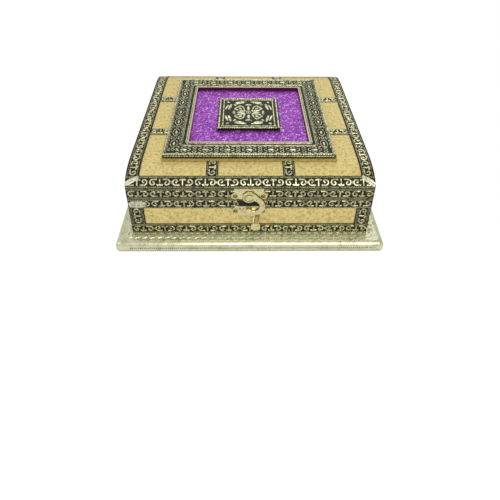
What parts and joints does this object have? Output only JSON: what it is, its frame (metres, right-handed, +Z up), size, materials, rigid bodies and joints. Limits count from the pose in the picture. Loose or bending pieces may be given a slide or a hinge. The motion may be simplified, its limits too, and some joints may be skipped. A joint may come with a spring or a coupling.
{
  "type": "dry fruit box",
  "caption": "Square hinged dry fruit box with a domed lid, embossed foil strips, gold paper fields, a raised purple picture frame and a swing-hook latch.",
  "frame": {"origin": "centre of the plinth's underside", "axes": "+Z up, front with the latch faces -Y, +X to the viewer's right"},
  "size_m": [0.2298, 0.2298, 0.0755],
  "materials": {
    "mdf": "sawn fibreboard",
    "embossed_foil": "oxidised embossed white-metal foil, dark ground and bright relief",
    "plinth_foil": "pale gold-silver embossed foil",
    "gold_paper": "finely crinkled gold paper",
    "gold_edge": "gold paper over board",
    "lip_gold": "pinkish gold foil",
    "purple_film": "hammered metallic purple film on card",
    "brass": "pale polished brass",
    "velvet": "maroon velvet"
  },
  "bodies": {
    "base": {"back_wall": "mdf", "base_floor": "mdf", "base_paper": "gold_paper", "catch_plate": "brass", "catch_stud": "brass", "catch_tacks": "brass", "corner_strip_back_left": "embossed_foil", "corner_strip_back_right": "embossed_foil", "corner_strip_front_left": "embossed_foil", "corner_strip_front_right": "embossed_foil", "cross_divider": "velvet", "floor_lining": "velvet", "foot_strip": "embossed_foil", "front_wall": "mdf", "hinge_base_leaf_left": "brass", "hinge_base_leaf_right": "brass", "hinge_base_tacks": "brass", "hinge_pin_left": "brass", "hinge_pin_right": "brass", "left_wall": "mdf", "long_divider": "velvet", "plinth_board": "mdf", "plinth_foil": "plinth_foil", "right_wall": "mdf", "top_strip": "embossed_foil", "wall_lining": "velvet"},
    "lid": {"end_strip_left": "embossed_foil", "end_strip_right": "embossed_foil", "frame_backing": "gold_edge", "frame_lip": "lip_gold", "frame_rail_back": "embossed_foil", "frame_rail_front": "embossed_foil", "frame_rail_left": "embossed_foil", "frame_rail_right": "embossed_foil", "hinge_lid_leaf_left": "brass", "hinge_lid_leaf_right": "brass", "hinge_lid_tacks": "brass", "latch_plate": "brass", "latch_rivet": "brass", "latch_tacks": "brass", "lid_back_rail": "mdf", "lid_front_rail": "mdf", "lid_left_board": "mdf", "lid_lining": "velvet", "lid_paper": "gold_paper", "lid_right_board": "mdf", "lid_rim_strip": "embossed_foil", "lid_skin": "mdf", "long_cross_strips": "embossed_foil", "purple_panel": "purple_film", "short_cross_strips": "embossed_foil", "shoulder_strip_back": "embossed_foil", "shoulder_strip_front": "embossed_foil", "side_strip_left": "embossed_foil", "side_strip_right": "embossed_foil", "tile_block": "embossed_foil", "tile_plate": "embossed_foil"},
    "hook": {"latch_hook": "brass"}
  },
  "joints": [
    {"name": "lid_hinge", "type": "hinge", "parent": "base", "child": "lid", "pos_m": [0, 0.1014, 0.0477], "axis": [-1, 0, 0], "range_deg": [0, 105]},
    {"name": "hook_pivot", "type": "hinge", "parent": "lid", "child": "hook", "pos_m": [-0.0012, -0.10365, 0.0513], "axis": [0, -1, 0], "range_deg": [0, 120]}
  ]
}
